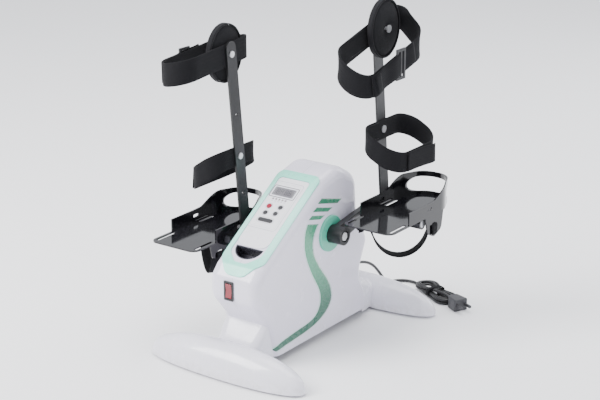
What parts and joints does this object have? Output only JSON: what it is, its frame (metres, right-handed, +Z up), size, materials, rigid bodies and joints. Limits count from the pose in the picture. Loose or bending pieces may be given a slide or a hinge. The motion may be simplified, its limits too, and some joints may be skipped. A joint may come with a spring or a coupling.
{
  "type": "pedal exerciser",
  "caption": "Motorised floor pedal exerciser with slanted console, two stabiliser feet, and foot plates carrying leg bars with knee pads and webbing straps.",
  "frame": {"origin": "on the floor under the middle of the machine without its cord", "axes": "+Z up, -Y towards the console side, +X the machine's right as seen looking along +Y; crank axle along X"},
  "size_m": [0.4224, 0.6141, 0.6385],
  "materials": {
    "white_shell": "gloss",
    "mint_trim": "satin",
    "display": "gloss",
    "lamp": "gloss",
    "dark_plastic": "satin",
    "red_key": "gloss",
    "red_rocker": "gloss",
    "fastener": "satin",
    "zinc_steel": "satin",
    "bearing_steel": "polished",
    "motor": "satin",
    "pulley": "satin",
    "belt": "matt",
    "board": "satin",
    "rubber": "matt",
    "cord": "satin",
    "black_steel": "satin",
    "black_gloss": "gloss",
    "webbing": "matt",
    "pad_fabric": "matt"
  },
  "bodies": {
    "housing": {"shell_left": "white_shell", "shell_right": "white_shell", "console_bezel": "mint_trim", "console_panel": "white_shell", "display_window": "display", "indicator_lights": "lamp", "grip_cup": "dark_plastic", "switch_housing": "dark_plastic", "housing_screws": "fastener", "hub_cover_left": "mint_trim", "hub_cover_right": "mint_trim", "front_foot_cover": "white_shell", "rear_foot_cover": "white_shell", "front_cross_tube": "zinc_steel", "rear_cross_tube": "zinc_steel", "rubber_feet": "rubber", "base_frame": "zinc_steel", "bearing_plate_left": "zinc_steel", "bearing_plate_right": "zinc_steel", "axle_bearings": "bearing_steel", "gearmotor": "motor", "drive_belt": "belt", "control_board": "board", "cord_gland": "dark_plastic", "mains_cord": "cord", "cord_hank": "cord", "cord_tie": "dark_plastic", "mains_plug": "dark_plastic"},
    "crank": {"crank_shaft": "zinc_steel", "crank_pulley": "pulley", "crank_arm_left": "black_steel", "crank_arm_right": "black_steel", "crank_bolts": "fastener", "pedal_spindle_left": "zinc_steel", "pedal_spindle_right": "zinc_steel"},
    "motor_drive": {"motor_pulley": "pulley"},
    "rocker": {"power_rocker": "red_rocker"},
    "key_start": {"button_start": "red_key"},
    "key_speed_up": {"button_speed_up": "dark_plastic"},
    "key_speed_down": {"button_speed_down": "dark_plastic"},
    "key_mode": {"button_mode": "dark_plastic"},
    "key_stop": {"button_stop": "dark_plastic"},
    "pedal_left": {"foot_plate_left": "black_gloss", "pedal_hub_left": "black_gloss", "leg_bar_left": "black_steel", "bar_fasteners_left": "fastener", "foot_strap_left": "webbing"},
    "knee_rest_left": {"knee_pad_left": "pad_fabric", "knee_strap_left": "webbing", "knee_buckle_left": "dark_plastic"},
    "calf_loop_left": {"calf_strap_left": "webbing"},
    "pedal_right": {"foot_plate_right": "black_gloss", "pedal_hub_right": "black_gloss", "leg_bar_right": "black_steel", "bar_fasteners_right": "fastener", "foot_strap_right": "webbing"},
    "knee_rest_right": {"knee_pad_right": "pad_fabric", "knee_strap_right": "webbing", "knee_buckle_right": "dark_plastic"},
    "calf_loop_right": {"calf_strap_right": "webbing"}
  },
  "joints": [
    {"name": "crank_spin", "type": "hinge", "parent": "housing", "child": "crank", "pos_m": [0, 0.026, 0.207], "axis": [1, 0, 0], "continuous": true},
    {"name": "motor_spin", "type": "hinge", "parent": "housing", "child": "motor_drive", "pos_m": [0, -0.069, 0.12], "axis": [1, 0, 0], "continuous": true},
    {"name": "pedal_left_spin", "type": "hinge", "parent": "crank", "child": "pedal_left", "pos_m": [-0.15, -0.06902, 0.18749], "axis": [1, 0, 0], "continuous": true},
    {"name": "knee_left_swivel", "type": "hinge", "parent": "pedal_left", "child": "knee_rest_left", "pos_m": [-0.1, -0.07365, 0.54549], "axis": [1, 0, 0], "range_deg": [-20, 20]},
    {"name": "calf_left_swivel", "type": "hinge", "parent": "pedal_left", "child": "calf_loop_left", "pos_m": [-0.1, -0.05315, 0.3505], "axis": [1, 0, 0], "range_deg": [-15, 15]},
    {"name": "pedal_right_spin", "type": "hinge", "parent": "crank", "child": "pedal_right", "pos_m": [0.15, 0.12102, 0.22651], "axis": [1, 0, 0], "continuous": true},
    {"name": "knee_right_swivel", "type": "hinge", "parent": "pedal_right", "child": "knee_rest_right", "pos_m": [0.1, 0.11639, 0.58451], "axis": [1, 0, 0], "range_deg": [-20, 20]},
    {"name": "calf_right_swivel", "type": "hinge", "parent": "pedal_right", "child": "calf_loop_right", "pos_m": [0.1, 0.13689, 0.3895], "axis": [1, 0, 0], "range_deg": [-15, 15]},
    {"name": "power_rocker_tilt", "type": "hinge", "parent": "housing", "child": "rocker", "pos_m": [-0.006, -0.198, 0.151], "axis": [1, 0, 0], "range_deg": [0, 12]},
    {"name": "start_press", "type": "slide", "parent": "housing", "child": "key_start", "axis": [0, 0.5446, -0.8387], "range_m": [0, 0.0009], "stiffness_N_per_m": 400},
    {"name": "speed_up_press", "type": "slide", "parent": "housing", "child": "key_speed_up", "axis": [0, 0.5446, -0.8387], "range_m": [0, 0.0009], "stiffness_N_per_m": 400},
    {"name": "speed_down_press", "type": "slide", "parent": "housing", "child": "key_speed_down", "axis": [0, 0.5446, -0.8387], "range_m": [0, 0.0009], "stiffness_N_per_m": 400},
    {"name": "mode_press", "type": "slide", "parent": "housing", "child": "key_mode", "axis": [0, 0.5446, -0.8387], "range_m": [0, 0.0009], "stiffness_N_per_m": 400},
    {"name": "stop_press", "type": "slide", "parent": "housing", "child": "key_stop", "axis": [0, 0.5446, -0.8387], "range_m": [0, 0.0009], "stiffness_N_per_m": 400}
  ],
  "couplings": [
    {"joint": "motor_spin", "follows": "crank_spin", "ratio": 4},
    {"joint": "pedal_left_spin", "follows": "crank_spin", "ratio": -1},
    {"joint": "pedal_right_spin", "follows": "crank_spin", "ratio": -1}
  ]
}
